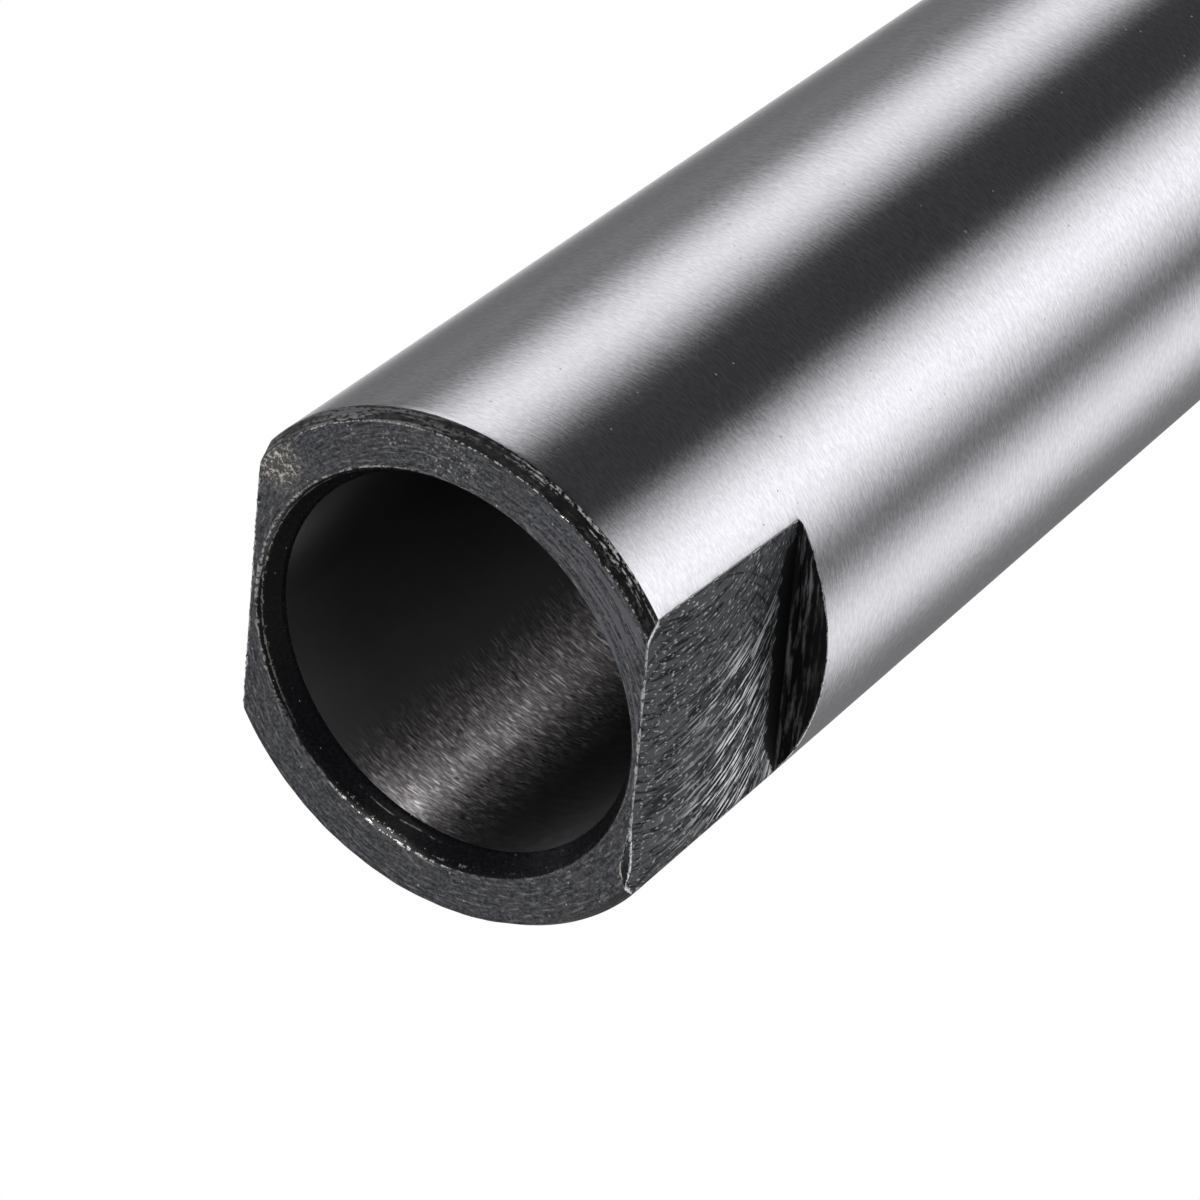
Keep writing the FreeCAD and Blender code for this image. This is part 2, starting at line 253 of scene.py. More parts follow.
def rim_ripple(angles, height):
    """The rim chamfer's turned edge runs unevenly, with two small knocks."""
    fade = max(1 - height / RIM_HEIGHT, 0)
    ripple = wander(angles, 3, range(5, 60, 4), RIM_RIPPLE)
    ripple += wander(angles, 4, range(2, 6), RIM_SWAY)
    knocks = np.zeros_like(angles)
    for azimuth, depth in KNOCKS:
        away = (angles - math.radians(azimuth)) / math.radians(KNOCK_WIDTH)
        knocks += np.exp(-away ** 2) * depth
    round_side = np.clip(abs(np.sin(angles)) * 3 - 1.5, 0, 1)
    return (ripple - knocks) * fade * round_side


def bevel(angles):
    """Width of the filed bevel at each angle."""
    along = SPANNER_HALF * np.tan(angles)
    on_flat = np.cos(angles) > math.cos(flat_corner(0))
    width = ease(along, BEVEL_START, BEVEL_FULL) - ease(along, BEVEL_FULL, BEVEL_STOP)
    return BEVEL_WIDTH * width * on_flat


def burr(angles, height):
    """The lip that the mill pushed up along the end of each flat, and the filed bevel."""
    fade = max(1 - height / LIP_HEIGHT, 0)
    lip = LIP_REACH + np.clip(wander(angles, 5, range(40, 260, 9), LIP_RIPPLE), 0, 1)
    on_flat = abs(np.cos(angles)) > math.cos(flat_corner(0) - 0.01)
    filed = np.clip(bevel(angles) - height, 0, 1) / np.maximum(np.cos(angles), 0.5)
    return lip * fade * on_flat * (bevel(angles) < 0.02) - filed


def rim_radius(angles, height):
    """Radius of the outside beside the end face, with all that is uneven there."""
    return outside(angles, height) + rim_ripple(angles, height) + burr(angles, height)


class Rings:
    """Rings of points, one after another along the profile, and what lies between them."""

    def __init__(self):
        self.points = []
        self.finishes = []

    def add(self, finish, corner, radius, height):
        """One ring, and the finish of the patch between it and the ring before."""
        angles = ring_angles(corner)
        radius = np.broadcast_to(radius, angles.shape)
        height = np.broadcast_to(height, angles.shape)
        self.points.append(np.stack(
            [radius * np.cos(angles), radius * np.sin(angles), height], axis=1))
        self.finishes.append(finish)

    def add_outside(self, finish, height, past_shoulder=False):
        """One ring of the outside, with the flats and the tang's cuts."""
        corner = flat_corner(height)
        radius = outside(ring_angles(corner), height, past_shoulder)
        self.add(finish, corner, radius, height)


def patches(rows, columns):
    """Row, column and corners of each patch between rings of points."""
    for row in range(1, rows):
        for column in range(columns):
            after = (column + 1) % columns
            yield row, column, ((row - 1) * columns + column, (row - 1) * columns + after,
                                row * columns + after, row * columns + column)


def draw_socket(rings):
    """From the drill point at the bottom out to the mouth."""
    corner = flat_corner(0)
    relief_radius = SOCKET_RADIUS - SOCKET_TAPER_END * SOCKET_SLOPE
    tip = RELIEF_END + relief_radius / DRILL_SLOPE
    rings.add("turned_mouth", corner, 0.0, tip)
    for radius in spread(0, relief_radius, 8):
        rings.add("turned_mouth", corner, radius, tip - radius / DRILL_SLOPE)
    for height in spread(RELIEF_END, SOCKET_TAPER_END, 4):
        rings.add("turned_mouth", corner, relief_radius, height)
    lead_end = MOUTH_BREAK + (MOUTH_RADIUS - MOUTH_BREAK - SOCKET_RADIUS) / LEAD_SLOPE
    for height in spread(SOCKET_TAPER_END, lead_end + FINE_EDGE, 13):
        rings.add("ground_bore", corner, SOCKET_RADIUS - height * SOCKET_SLOPE, height)
    for height in spread(lead_end - FINE_EDGE, MOUTH_BREAK + FINE_EDGE, 6):
        lead = MOUTH_RADIUS - MOUTH_BREAK - (height - MOUTH_BREAK) * LEAD_SLOPE
        rings.add("turned_mouth", corner, lead, height)
    for height in spread(MOUTH_BREAK, FINE_EDGE, 3):
        rings.add("turned_mouth", corner, MOUTH_RADIUS - height, height)
    rings.add("turned_face", corner, MOUTH_RADIUS + FINE_EDGE * 0.5, 0.0)


def draw_face(rings):
    """The end face, out to the edge where the rim chamfer and the flats start."""
    corner = flat_corner(0)
    edge = rim_radius(ring_angles(corner), 0.0)
    inner = MOUTH_RADIUS + FINE_EDGE
    for share in FACE_ROWS:
        radius = inner + (edge - FINE_EDGE - inner) * share
        rings.add("turned_face", corner, radius, 0.0)


def draw_rim(rings):
    """The rim chamfer and the flats' end edges."""
    for height in RIM_ROWS:
        corner = flat_corner(height)
        rings.add("turned_rim", corner, rim_radius(ring_angles(corner), height), height)


def draw_shoulder(rings):
    """The flats' rounded foot, and the wall out to the ground taper."""
    for turn in spread(0, math.pi / 2, 9):
        height = SPANNER_LENGTH - SPANNER_FOOT + SPANNER_FOOT * math.sin(turn)
        rings.add_outside("ground_taper", height)
    corner = flat_corner(SPANNER_LENGTH)
    angles = ring_angles(corner)
    foot = outside(angles, SPANNER_LENGTH)
    top = outside(angles, SPANNER_LENGTH, past_shoulder=True)
    for share in spread(0, 1, 6):
        radius = foot + (top - FINE_EDGE - foot) * share
        rings.add("milled_flat", corner, np.maximum(radius, foot), SPANNER_LENGTH)
    rings.add("bare_edge", corner, top, SPANNER_LENGTH + FINE_EDGE)


def draw_shank(rings):
    """The ground taper: beside the flats, then from their shoulder to the tang's cuts."""
    for height in spread(RIM_ROWS[-1], SPANNER_LENGTH - SPANNER_FOOT, 40):
        rings.add_outside("ground_taper", height)
    draw_shoulder(rings)
    start = SPANNER_LENGTH + 0.1
    for height in [start, *spread(start, TANG_CUT_START, 18)]:
        rings.add_outside("ground_taper", height, past_shoulder=True)


def runout_height(corner):
    """Height at which the run-out's edge on the shank is at that angle from +X."""
    across = TANG_HALF + TANG_RUNOUT - RUNOUT_RADIUS * math.sin(corner)
    return TANG_FLAT_START - math.sqrt(TANG_RUNOUT ** 2 - across ** 2)


def draw_tang(rings):
    """Run-outs, flats and the turned stub between them, up to the rounded end."""
    chamfer = STUB_START - STUB_STEP
    heights = [runout_height(corner) for corner in spread(TANG_CORNER, CHAMFER_CORNER, 20)]
    stops = ((chamfer + RIM_EDGE, 4), (STUB_START - RIM_EDGE, 4), (STUB_START + RIM_EDGE, 4),
             (TANG_FLAT_START, 13), (LENGTH - STUB_CORNER, 6))
    for stop, rows in stops:
        heights += spread(heights[-1], stop, rows)
    heights += [LENGTH - STUB_CORNER + STUB_CORNER * math.sin(turn)
                for turn in spread(0, math.pi / 2 - LAST_TURN, 8)]
    for height in heights:
        finish = "ground_taper" if height <= chamfer else "turned_face"
        rings.add_outside(finish, height, past_shoulder=True)
    corner = flat_corner(LENGTH)
    edge = outside(ring_angles(corner), LENGTH, past_shoulder=True) - TOP_EDGE
    for share in spread(0, 1, 8):
        rings.add("turned_face", corner, edge + (CENTRE_RADIUS + FINE_EDGE - edge) * share, LENGTH)


def draw_centre_hole(rings):
    """The centre hole's cone, its pilot and the pilot's point."""
    corner = flat_corner(LENGTH)
    cone_end = LENGTH - (CENTRE_RADIUS - PILOT_RADIUS) / CENTRE_SLOPE
    pilot_end = LENGTH - PILOT_DEPTH
    for height in spread(LENGTH - FINE_EDGE, cone_end, 6):
        rings.add("turned_mouth", corner, CENTRE_RADIUS - (LENGTH - height) * CENTRE_SLOPE, height)
    for height in spread(cone_end, pilot_end, 3):
        rings.add("turned_mouth", corner, PILOT_RADIUS, height)
    for radius in spread(PILOT_RADIUS, 0, 3):
        rings.add("turned_mouth", corner, radius,
                  pilot_end - (PILOT_RADIUS - radius) / DRILL_SLOPE)


def finish_at(point, finish, past_corner):
    """The finish of a patch of the outside, which may lie on a milled flat."""
    x, y, z = point
    radius = math.hypot(x, y)
    hair = FINE_EDGE / 4
    if past_corner and radius > CENTRE_RADIUS and TANG_CUT_START + 2 * hair < z < LENGTH - hair:
        return "milled_tang"
    inner_wall = abs(x) < SPANNER_HALF + SPANNER_FOOT
    if finish == "bare_edge" and inner_wall and z > SPANNER_LENGTH - FINE_EDGE:
        return "ground_taper"
    if finish not in ("ground_taper", "turned_face", "turned_rim"):
        return finish
    milled = radius < turned(z) - hair and hair < z < LENGTH - hair
    if milled and z < SPANNER_LENGTH and abs(abs(x) - spanner_face(z)) < FINE_EDGE:
        return "milled_flat"
    if milled and finish == "turned_rim" and abs(x) > SPANNER_HALF:
        return "bare_edge"
    return finish


def sleeve_mesh():
    """The sleeve without its drift slot."""
    rings = Rings()
    for draw in (draw_socket, draw_face, draw_rim, draw_shank, draw_tang, draw_centre_hole):
        draw(rings)
    points = np.concatenate(rings.points)
    columns = len(rings.points[0])
    half = columns // 2
    corner = FLAT_COLUMNS + EDGE_COLUMNS // 2
    faces = []
    finishes = []
    for row, column, face in patches(len(rings.points), columns):
        past_corner = corner <= column % half < half - corner
        finish = finish_at(points[list(face)].mean(axis=0), rings.finishes[row], past_corner)
        faces.append(face)
        finishes.append(FINISHES.index(finish))
    return draw_mesh("sleeve_finish", points, faces, finishes)


def draw_mesh(name, points, faces, finishes):
    """A mesh from points in millimetres, faces and the number of each face's finish.

    Points that fall on each other become one, and faces with no area go.
    """
    mesh = bpy.data.meshes.new(name)
    mesh.from_pydata((points * MM).tolist(), [], faces)
    mesh.polygons.foreach_set("material_index", finishes)
    work = bmesh.new()
    work.from_mesh(mesh)
    bmesh.ops.remove_doubles(work, verts=work.verts, dist=SAME_POINT * MM)
    bmesh.ops.recalc_face_normals(work, faces=work.faces)
    work.to_mesh(mesh)
    work.free()
    return mesh


def slot_outline(grow):
    """Round-ended outline of the slot in the YZ plane, grown by some width."""
    turns = np.linspace(0, math.pi, 25)
    low = SLOT_START + SLOT_HALF
    high = SLOT_END - SLOT_HALF
    half = SLOT_HALF + grow
    upper = [(half * math.cos(turn), high + half * math.sin(turn)) for turn in turns]
    lower = [(-half * math.cos(turn), low - half * math.sin(turn)) for turn in turns]
    return np.array(upper + lower)


def slot_cutter():
    """What the slot mill and the file along its edges take away."""
    narrow = slot_outline(0.0)
    wide = slot_outline(2 * SLOT_CHAMFER)
    surface = np.sqrt(cone(narrow[:, 1]) ** 2 - narrow[:, 0] ** 2)
    past = np.full(len(narrow), CUTTER_REACH)
    sections = [(narrow, surface - SLOT_CHAMFER), (wide, surface + SLOT_CHAMFER), (wide, past)]
    rings = [np.column_stack([-x, yz]) for yz, x in reversed(sections)]
    rings += [np.column_stack([x, yz]) for yz, x in sections]
    size = len(narrow)
    total = size * len(rings)
    faces = [tuple(range(size)), tuple(range(total - 1, total - size - 1, -1))]
    faces += [face for _, _, face in patches(len(rings), size)]
    finishes = [FINISHES.index("milled_tang")] * len(faces)
    return draw_mesh("slot_cutter", np.concatenate(rings), faces, finishes)


def mill_slot(sleeve, materials):
    """The drift slot, cut through the sleeve's mesh."""
    cutter = new_object("slot_cutter", slot_cutter())
    for material in materials:
        cutter.data.materials.append(material)
    cut = sleeve.modifiers.new("drift_slot", "BOOLEAN")
    cut.operation = "DIFFERENCE"
    cut.solver = "EXACT"
    cut.object = cutter
    graph = bpy.context.evaluated_depsgraph_get()
    milled = bpy.data.meshes.new_from_object(sleeve.evaluated_get(graph))
    sleeve.modifiers.clear()
    sleeve.data = milled
    sleeve.data.name = "sleeve_finish"
    bpy.data.objects.remove(cutter)


class Tree:
    """Short names for the nodes that lamps, the world and materials are built from."""

    def __init__(self, owner):
        owner.use_nodes = True
        self.tree = owner.node_tree

    def add(self, kind, **settings):
        node = self.tree.nodes.new(kind)
        for name, value in settings.items():
            setattr(node, name, value)
        return node

    def feed(self, socket, value):
        if isinstance(value, bpy.types.NodeSocket):
            self.tree.links.new(value, socket)
        elif value is not None:
            socket.default_value = value

    def wire(self, node, *values):
        """The node's inputs get the values in turn, and its first output comes back."""
        for socket, value in zip(node.inputs, values):
            self.feed(socket, value)
        return node.outputs[0]

    def math(self, operation, *values, clamp=False):
        return self.wire(self.add("ShaderNodeMath", operation=operation, use_clamp=clamp), *values)

    def chain(self, operation, values):
        """The first value with each of the others in turn."""
        total = values[0]
        for value in values[1:]:
            total = self.math(operation, total, value)
        return total

    def sum(self, *values):
        return self.chain("ADD", values)

    def times(self, *values):
        return self.chain("MULTIPLY", values)

    def most(self, *values):
        return self.chain("MAXIMUM", values)

    def less(self, first, second):
        return self.math("SUBTRACT", first, second)

    def unsigned(self, value):
        return self.math("ABSOLUTE", value)

    def vector(self, operation, first, second=None, scale=None):
        node = self.add("ShaderNodeVectorMath", operation=operation)
        self.wire(node, first, second, None, scale)
        return node.outputs

    def split(self, vector):
        node = self.add("ShaderNodeSeparateXYZ")
        self.wire(node, vector)
        return node.outputs

    def join(self, x, y, z):
        return self.wire(self.add("ShaderNodeCombineXYZ"), x, y, z)

    def ramp(self, value, low, high, start=0.0, end=1.0, kind="SMOOTHSTEP"):
        """The value's way from low to high, as a number from start to end."""
        node = self.add("ShaderNodeMapRange", interpolation_type=kind)
        return self.wire(node, value, low, high, start, end)

    def blend(self, share, first, second):
        return self.wire(self.add("ShaderNodeMix"), share, None, first, second)

    def layer(self, share, first, second):
        """Two shaders, mixed."""
        return self.wire(self.add("ShaderNodeMixShader"), share, first, second)


class Nodes(Tree):
    """A material of the sleeve, with places and sizes in millimetres."""

    def __init__(self, name):
        self.material = bpy.data.materials.new(name)
        super().__init__(self.material)
        self.shader = self.tree.nodes["Principled BSDF"]
        place = self.add("ShaderNodeTexCoord").outputs["Object"]
        self.place = self.vector("SCALE", place, scale=1 / MM)[0]
        self.x, self.y, self.z = self.split(self.place)
        squares = self.sum(self.times(self.x, self.x), self.times(self.y, self.y))
        self.radius = self.math("SQRT", squares)
        self.turn = self.math("ARCTAN2", self.y, self.x)
        self.arc = self.times(self.turn, self.radius)

    def noise(self, scale=1.0, detail=2.0, roughness=0.5, place=None):
        place = self.place if place is None else place
        return self.wire(self.add("ShaderNodeTexNoise"), place, None, scale, detail, roughness)

    def cells(self, *sides):
        """A place for noise, from values and the sizes of the marks along them."""
        return self.join(*(self.times(value, 1 / size) for value, size in sides))

    def mix(self, share, first, second):
        node = self.add("ShaderNodeMix", data_type="RGBA")
        self.feed(node.inputs["Factor"], share)
        self.feed(node.inputs["A"], colour(first))
        self.feed(node.inputs["B"], colour(second))
        return node.outputs["Result"]

    def paint(self, base, *coats):
        """Coats one over another, each with how much it covers and its colour."""
        for share, tint in coats:
            base = self.mix(share, base, tint)
        return base

    def relief(self, *layers):
        """Bumps one over another, each with its height and its depth in millimetres."""
        normal = None
        for height, depth in layers:
            node = self.add("ShaderNodeBump")
            node.inputs["Strength"].default_value = 1.0
            node.inputs["Distance"].default_value = depth * MM
            self.feed(node.inputs["Height"], height)
            self.feed(node.inputs["Normal"], normal)
            normal = node.outputs[0]
        return normal

    def finish(self, **inputs):
        names = {"base": "Base Color", "metal": "Metallic", "rough": "Roughness",
                 "normal": "Normal", "level": "Specular IOR Level",
                 "stretch": "Anisotropic", "rotation": "Anisotropic Rotation",
                 "tangent": "Tangent"}
        for name, value in inputs.items():
            self.feed(self.shader.inputs[names[name]], colour(value))
        return self.material


def colour(value):
    """A colour as a socket wants it, from three parts; any other value as it is."""
    if isinstance(value, tuple) and len(value) == 3:
        return (*value, 1.0)
    return value


def around(nodes, along, across, detail=2.0, roughness=0.5):
    """Noise in marks that run round the axis: long round it, short along it."""
    place = nodes.cells((nodes.arc, along), (nodes.radius, along), (nodes.z, across))
    return nodes.noise(1.0, detail, roughness, place)


def round_tangent(nodes):
    """Direction of marks that run round the axis."""
    return nodes.add("ShaderNodeTangent", direction_type="RADIAL", axis="Z").outputs[0]


def outward(nodes):
    """The way out from the axis and up, which changes on end faces and round sides alike."""
    return nodes.sum(nodes.radius, nodes.times(nodes.z, 0.6))


def facing(nodes, degrees, low, high, start=0.0, end=1.0):
    """A number that goes from start to end towards one side of the sleeve."""
    away = nodes.less(nodes.turn, math.radians(degrees))
    return nodes.ramp(nodes.math("COSINE", away), low, high, start, end)


def near(nodes, place, reach):
    """How near a point is to a place: from 0 at that reach to 1 close by."""
    away = nodes.vector("DISTANCE", nodes.place, place)["Value"]
    return nodes.ramp(away, reach, reach * 0.25)


def specks(nodes, scale, size, share):
    """Scattered spots: that many cells to the millimetre, some of them with a spot."""
    node = nodes.add("ShaderNodeTexVoronoi")
    nodes.feed(node.inputs["Vector"], nodes.place)
    nodes.feed(node.inputs["Scale"], scale)
    spot = nodes.ramp(node.outputs["Distance"], size, size * 0.4)
    draw = nodes.split(node.outputs["Color"])[0]
    return nodes.times(spot, nodes.math("LESS_THAN", draw, share))


def turning_rings(nodes, pitch):
    """Fine uneven rings that a lathe tool leaves, by the distance from the axis."""
    wobble = nodes.noise(0.25)
    line = nodes.sum(outward(nodes), nodes.times(wobble, 0.25))
    place = nodes.join(nodes.times(line, 1 / pitch), nodes.times(nodes.turn, 2.0), 0.0)
    return nodes.noise(1.0, 1.0, 0.6, place)


def bare_glint_line(nodes, distance, width, seed=0.0, cover=0.44):
    """A broken bright line along an edge, thick and thin: bare steel where the scale is knocked
    off, painted as the edge's highlight.
    """
    place = nodes.vector("ADD", nodes.place, (seed, 0.0, 0.0))[0]
    sway = nodes.less(nodes.noise(1.7, place=place), 0.5)
    distance = nodes.sum(distance, nodes.times(sway, 0.9 * width))
    thick = nodes.ramp(nodes.noise(0.9, 4.0, 0.75, place), 0.36, 0.66, 0.25, 1.7)
    reach = nodes.times(thick, width)
    broken = nodes.ramp(nodes.noise(2.8, 3.0, 0.7, place), cover, cover + 0.08)
    line = nodes.ramp(nodes.unsigned(distance), reach, nodes.times(reach, 0.4))
    return nodes.times(line, broken)


# Colours of the ground steel: the shank's marks; the socket painted dark as shade, with a
# painted lit patch and a painted shaded side; and its painted highlight streak's mottle,
# scratches and pits.
SHANK_DULL = (0.54, 0.535, 0.57)
SHANK_SHINY = (0.7, 0.694, 0.732)
BORE_SHADE = (0.16, 0.154, 0.162)
BORE_SHADE_PALE = (0.212, 0.204, 0.214)
BORE_LIT = (0.46, 0.445, 0.465)
BORE_SHADED = (0.115, 0.11, 0.11)
BORE_STREAK = (0.22, 0.205, 0.212)
BORE_STREAK_PALE = (0.62, 0.59, 0.605)
BORE_MOTTLE = (0.2, 0.186, 0.193)
BORE_SCRATCH = (0.95, 0.92, 0.93)
BORE_PIT = (0.06, 0.056, 0.06)


def ground_taper(nodes):
    """Satin cylinder grinding: short fine marks round the shank, a few bright specks."""
    short = around(nodes, 0.5, 0.13, roughness=0.6)
    long = around(nodes, 3.0, 0.26)
    clouds = around(nodes, 12.0, 4.0, detail=3.0)
    dots = specks(nodes, 1.2, 0.07, 0.4)
    normal = nodes.relief((short, 0.009), (long, 0.006), (dots, 0.02))
    rough = nodes.sum(0.16, nodes.times(short, 0.08), nodes.times(clouds, 0.04))
    base = nodes.mix(nodes.ramp(short, 0.25, 0.75), SHANK_DULL, SHANK_SHINY)
    return nodes.finish(base=base, metal=1.0, rough=rough, normal=normal, stretch=0.8,
                        rotation=0.25, tangent=round_tangent(nodes))


def ground_bore(nodes):
    """The ground socket, painted dark as shade, with a painted highlight streak along its +Y side
    that carries short bright scratches, pits and a mottle.
    """
    short = around(nodes, 0.5, 0.12, roughness=0.6)
    mottle = around(nodes, 0.9, 0.45, detail=4.0, roughness=0.7)
    pits = nodes.ramp(around(nodes, 0.7, 0.22), 0.38, 0.28)
    scratches = nodes.ramp(around(nodes, 0.9, 0.15, detail=1.0), 0.58, 0.7)
    # The strip towards azimuth 104 is a painted highlight: the streak a lamp casts down the
    # socket.
    streak_side = facing(nodes, 104, 0.88, 0.985)
    lit_streak = nodes.paint(nodes.mix(nodes.ramp(short, 0.36, 0.64), BORE_STREAK, BORE_STREAK_PALE),
                       (nodes.ramp(mottle, 0.4, 0.6, 0.6, 0.0), BORE_MOTTLE),
                       (scratches, BORE_SCRATCH), (nodes.times(pits, 0.8), BORE_PIT))
    # The socket's dark colour is painted shade, paler towards azimuth 143 and darker towards 190.
    shaded_bore = nodes.paint(nodes.mix(nodes.ramp(mottle, 0.35, 0.65), BORE_SHADE, BORE_SHADE_PALE),
                       (facing(nodes, 143, 0.86, 0.97), BORE_LIT),
                       (facing(nodes, 190, 0.6, 0.95), BORE_SHADED))
    normal = nodes.relief((nodes.times(short, nodes.sum(0.25, streak_side)), 0.009))
    rough = nodes.sum(0.35, nodes.times(mottle, 0.06))
    return nodes.finish(base=nodes.mix(streak_side, shaded_bore, lit_streak), metal=1.0, rough=rough, normal=normal,
                        stretch=0.95, rotation=0.25, tangent=round_tangent(nodes))


# Places on the end face: where the scale is rubbed brown, and two groups of bright specks.
SCUFF_PLACE = (-12.1, -9.0, 0.0)
SPECK_PLACE = (-0.5, -13.8, 0.0)
CHIP_PLACE = (-4.6, -13.9, 0.0)

# Colours of the end faces: the scale's grain and clouds, strokes, painted highlight lines, the
# scuff.
FACE_DARK = (0.02, 0.024, 0.029)
FACE_PALE = (0.116, 0.117, 0.13)
FACE_CLOUD = (0.086, 0.079, 0.085)
STROKE_BLACK = (0.005, 0.006, 0.007)
STROKE_PALE = (0.27, 0.267, 0.29)
FACE_LINE_HIGHLIGHT = (0.155, 0.152, 0.172)
SCUFF_BROWN = (0.12, 0.108, 0.097)
SCUFF_BARE = (0.85, 0.8, 0.74)
# Bare specks, and the edge lines painted as highlights.
FACE_BARE_GLINT = (0.62, 0.61, 0.6)


def face_specks(nodes):
    """Bright specks on an end face: a few everywhere, and groups where it was knocked."""
    few = specks(nodes, 1.9, 0.17, 0.16)
    groups = nodes.ramp(nodes.noise(0.42), 0.58, 0.7, 0.0, 0.8)
    many = nodes.times(specks(nodes, 3.0, 0.27, 0.55), groups)
    broken = nodes.ramp(nodes.noise(2.6, 3.0, 0.7), 0.56, 0.66)
    knocked = nodes.times(nodes.most(near(nodes, SPECK_PLACE, 2.6), near(nodes, CHIP_PLACE, 0.9)),
                          nodes.most(broken, specks(nodes, 3.6, 0.36, 0.7)), 0.8)
    return nodes.most(few, many, knocked)


def bevel_edge(nodes):
    """Width of the filed bevel beside each point of the +X flat's end edge."""
    widen = nodes.ramp(nodes.y, BEVEL_START, BEVEL_FULL, 0.0, BEVEL_WIDTH)
    narrow = nodes.ramp(nodes.y, BEVEL_FULL, BEVEL_STOP, 0.0, BEVEL_WIDTH)
    return nodes.times(nodes.less(widen, narrow), nodes.math("GREATER_THAN", nodes.x, 0.0))


def mouth_lip_highlight(nodes):
    """How bright the mouth's edges are painted, a painted highlight that changes by side: most at
    +Y, less towards -X, little anywhere else.
    """
    bottom = facing(nodes, 101, 0.9, 0.96, 0.15, 1.0)
    left = facing(nodes, 205, 0.35, 0.75, 0.0, 0.9)
    return nodes.most(bottom, left)


def bare_glint_face_edges(nodes):
    """Bright lines on an end face, along the flats' edges and the mouth's: bare steel painted as
    the edges' highlights.
    """
    flat = nodes.less(nodes.less(SPANNER_HALF, bevel_edge(nodes)), nodes.unsigned(nodes.x))
    mouth = nodes.less(nodes.radius, MOUTH_RADIUS)
    return nodes.most(bare_glint_line(nodes, flat, 0.12),
                      nodes.times(bare_glint_line(nodes, mouth, 0.12, 3.0, 0.45), mouth_lip_highlight(nodes)))


def turned_face(nodes):
    """Turned and hardened end faces: slate scale with grain, specks and concentric lines, the
    lines painted as a highlight towards azimuth -32 and the edges as bright highlight lines.
    """
    rings = turning_rings(nodes, 0.2)
    grain = nodes.noise(4.2, 3.0, 0.75)
    clouds = nodes.noise(0.35, 4.0, 0.6)
    place = nodes.join(nodes.times(nodes.arc, 1 / 0.9), nodes.times(outward(nodes), 1 / 0.19), 0.0)
    strokes = nodes.noise(1.0, 3.0, 0.65, place)
    # The turned lines show only towards azimuth -32: a painted highlight of the rings.
    lines = nodes.times(nodes.ramp(rings, 0.48, 0.62), facing(nodes, -32, 0.7, 0.97, 0.1, 0.9))
    scuff = near(nodes, SCUFF_PLACE, 2.4)
    scuff_bare = nodes.times(scuff, nodes.ramp(nodes.noise(2.6, 4.0, 0.8), 0.5, 0.62))
    # Bare specks, and the edges' bright lines painted as highlights.
    bare_and_glint = nodes.most(face_specks(nodes), bare_glint_face_edges(nodes))
    base = nodes.paint(nodes.mix(nodes.ramp(grain, 0.4, 0.62), FACE_DARK, FACE_PALE),
                       (nodes.ramp(clouds, 0.45, 0.7, 0.0, 0.5), FACE_CLOUD),
                       (nodes.ramp(strokes, 0.47, 0.34, 0.0, 0.95), STROKE_BLACK),
                       (nodes.ramp(strokes, 0.54, 0.68, 0.0, 0.85), STROKE_PALE),
                       (lines, FACE_LINE_HIGHLIGHT), (nodes.times(scuff, 0.55), SCUFF_BROWN),
                       (scuff_bare, SCUFF_BARE), (bare_and_glint, FACE_BARE_GLINT))
    return nodes.finish(base=base, metal=nodes.blend(bare_and_glint, 0.3, 0.9),
                        rough=nodes.sum(0.36, nodes.times(grain, 0.2)),
                        normal=nodes.relief((rings, 0.012), (grain, 0.02), (bare_and_glint, 0.03)))


# Colours of the rim chamfer: scale, its paler side, turned lines painted as shine, edge
# highlights.
RIM_BLACK = (0.006, 0.0062, 0.007)
RIM_DARK = (0.016, 0.016, 0.018)
RIM_PALER_SIDE = (0.37, 0.362, 0.372)
RIM_LINE = (0.16, 0.16, 0.17)
RIM_LINE_LIT = (0.7, 0.7, 0.71)
RIM_BARE_GLINT = (0.7, 0.69, 0.68)


def bare_glint_rim_edges(nodes):
    """Bright lines along the rim chamfer's edge with the face, and where the flats cut it: bare
    steel painted as the edges' highlights, the first brightest towards azimuth 280.
    """
    edge = bare_glint_line(nodes, nodes.less(nodes.z, 0.02), 0.05, 5.0, 0.5)
    cut = nodes.less(nodes.unsigned(nodes.x), SPANNER_HALF)
    return nodes.most(nodes.times(edge, facing(nodes, 280, 0.2, 0.7, 0.3, 1.0)),
                      bare_glint_line(nodes, cut, 0.06, 6.0, 0.36))


